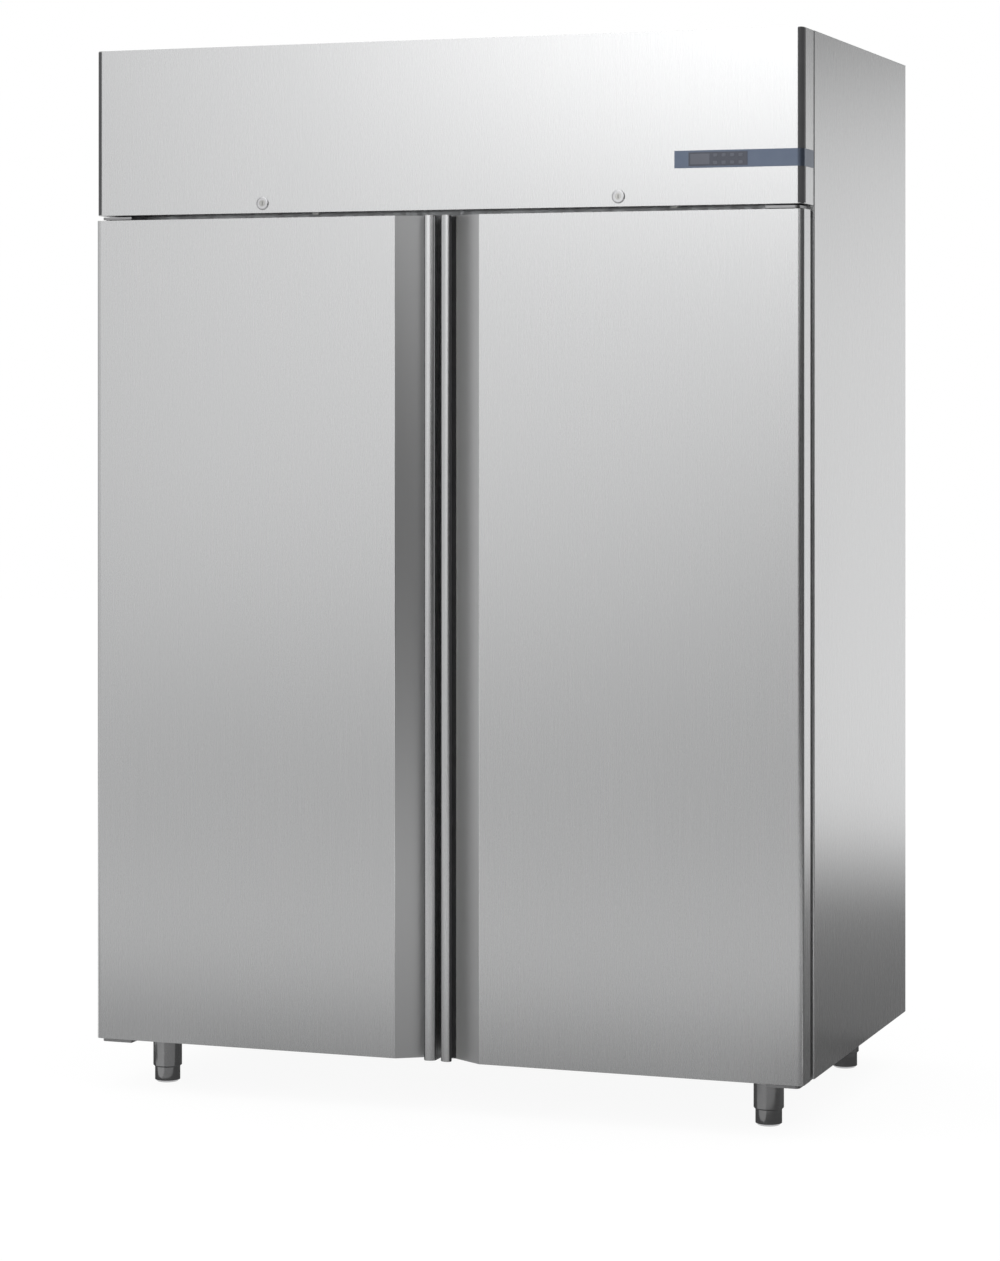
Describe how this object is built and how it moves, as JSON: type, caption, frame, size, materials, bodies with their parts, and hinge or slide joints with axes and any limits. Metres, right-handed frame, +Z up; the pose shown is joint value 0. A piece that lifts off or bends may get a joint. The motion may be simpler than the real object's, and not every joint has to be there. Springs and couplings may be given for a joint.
{
  "type": "two-door upright refrigerator",
  "caption": "Upright stainless steel professional refrigerator with full-height doors, recessed pull handles along the meeting edges, a control header with locks and round adjustable legs.",
  "frame": {"origin": "on the floor, under the middle of the refrigerator's box", "axes": "+Z up, +X to the right seen from the front, -Y towards the doors"},
  "size_m": [1.46, 0.85, 2.08],
  "materials": {
    "stainless_steel": "brushed along the height",
    "galvanised_sheet": "dull zinc",
    "insulating_foam": "matte, foamed in place",
    "hinge_steel": "satin",
    "leg_steel": "satin",
    "gasket_rubber": "soft matte",
    "hinge_bush": "matte",
    "control_strip": "satin, blue-grey",
    "display_window": "gloss",
    "controller_case": "matte",
    "contact_plastic": "matte",
    "lock_chrome": "polished",
    "lock_brass": "nickel plated",
    "lamp_cover": "translucent white",
    "coil_fins": "bare fins",
    "motor_casing": "black enamel",
    "guard_wire": "black powder coat",
    "fan_blades": "matte",
    "copper_pipe": "bright drawn"
  },
  "bodies": {
    "cabinet": {"left_side_panel": "stainless_steel", "right_side_panel": "stainless_steel", "back_panel": "galvanised_sheet", "base_panel": "galvanised_sheet", "top_cover": "galvanised_sheet", "rear_grille": "galvanised_sheet", "machine_deck": "galvanised_sheet", "insulation_foam": "insulating_foam", "inner_liner": "stainless_steel", "front_frame": "stainless_steel", "centre_mullion": "stainless_steel", "leg_sleeves": "leg_steel", "top_hinge_brackets": "hinge_steel", "bottom_hinge_brackets": "hinge_steel", "hinge_pins": "hinge_steel", "header_pivots": "hinge_steel", "rack_uprights": "stainless_steel", "shelf_runners": "stainless_steel", "left_shelves": "stainless_steel", "right_shelves": "stainless_steel", "evaporator_cover": "stainless_steel", "evaporator_coil": "coil_fins", "evaporator_fan_motors": "motor_casing", "evaporator_fan_guards": "guard_wire", "interior_lamps": "lamp_cover", "compressor": "motor_casing", "condenser_coil": "coil_fins", "condenser_fan_shroud": "galvanised_sheet", "condenser_fan_guard": "guard_wire", "condenser_fan_motor": "motor_casing", "refrigerant_pipes": "copper_pipe", "filter_drier": "copper_pipe", "electrical_box": "controller_case", "cable_gland": "controller_case"},
    "left_door": {"left_door_skin": "stainless_steel", "left_door_foam": "insulating_foam", "left_door_liner": "stainless_steel", "left_door_gasket": "gasket_rubber", "left_door_bushes": "hinge_bush"},
    "right_door": {"right_door_skin": "stainless_steel", "right_door_foam": "insulating_foam", "right_door_liner": "stainless_steel", "right_door_gasket": "gasket_rubber", "right_door_bushes": "hinge_bush"},
    "header": {"header_panel": "stainless_steel", "control_strip": "control_strip", "display_window": "display_window", "controller_box": "controller_case", "door_contacts": "contact_plastic", "lock_barrels": "lock_chrome"},
    "left_lock": {"left_lock_plug": "lock_brass"},
    "right_lock": {"right_lock_plug": "lock_brass"},
    "condenser_fan": {"condenser_fan": "fan_blades"},
    "left_evaporator_fan": {"left_evaporator_fan": "fan_blades"},
    "right_evaporator_fan": {"right_evaporator_fan": "fan_blades"},
    "front_left_foot": {"front_left_foot": "leg_steel"},
    "front_right_foot": {"front_right_foot": "leg_steel"},
    "rear_left_foot": {"rear_left_foot": "leg_steel"},
    "rear_right_foot": {"rear_right_foot": "leg_steel"}
  },
  "joints": [
    {"name": "right_door_hinge", "type": "hinge", "parent": "cabinet", "child": "right_door", "pos_m": [0.71, -0.403, 0.921], "axis": [0, 0, 1], "range_deg": [0, 105]},
    {"name": "left_door_hinge", "type": "hinge", "parent": "cabinet", "child": "left_door", "pos_m": [-0.71, -0.403, 0.921], "axis": [0, 0, -1], "range_deg": [0, 105]},
    {"name": "header_hinge", "type": "hinge", "parent": "cabinet", "child": "header", "pos_m": [0, -0.351, 2.074], "axis": [-1, 0, 0], "range_deg": [0, 70]},
    {"name": "right_lock_turn", "type": "hinge", "parent": "header", "child": "right_lock", "pos_m": [0.36775, -0.41, 1.769], "axis": [0, 1, 0], "range_deg": [0, 90]},
    {"name": "left_lock_turn", "type": "hinge", "parent": "header", "child": "left_lock", "pos_m": [-0.36775, -0.41, 1.769], "axis": [0, -1, 0], "range_deg": [0, 90]},
    {"name": "condenser_fan_spin", "type": "hinge", "parent": "cabinet", "child": "condenser_fan", "pos_m": [-0.38, -0.168, 1.873], "axis": [0, 1, 0], "continuous": true},
    {"name": "left_evaporator_fan_spin", "type": "hinge", "parent": "cabinet", "child": "left_evaporator_fan", "pos_m": [-0.215, -0.004, 1.59], "axis": [0, 1, 0], "continuous": true},
    {"name": "right_evaporator_fan_spin", "type": "hinge", "parent": "cabinet", "child": "right_evaporator_fan", "pos_m": [0.215, -0.004, 1.59], "axis": [0, 1, 0], "continuous": true},
    {"name": "front_left_foot_adjust", "type": "slide", "parent": "cabinet", "child": "front_left_foot", "axis": [0, 0, -1], "range_m": [0, 0.04]},
    {"name": "rear_left_foot_adjust", "type": "slide", "parent": "cabinet", "child": "rear_left_foot", "axis": [0, 0, -1], "range_m": [0, 0.04]},
    {"name": "front_right_foot_adjust", "type": "slide", "parent": "cabinet", "child": "front_right_foot", "axis": [0, 0, -1], "range_m": [0, 0.04]},
    {"name": "rear_right_foot_adjust", "type": "slide", "parent": "cabinet", "child": "rear_right_foot", "axis": [0, 0, -1], "range_m": [0, 0.04]}
  ]
}
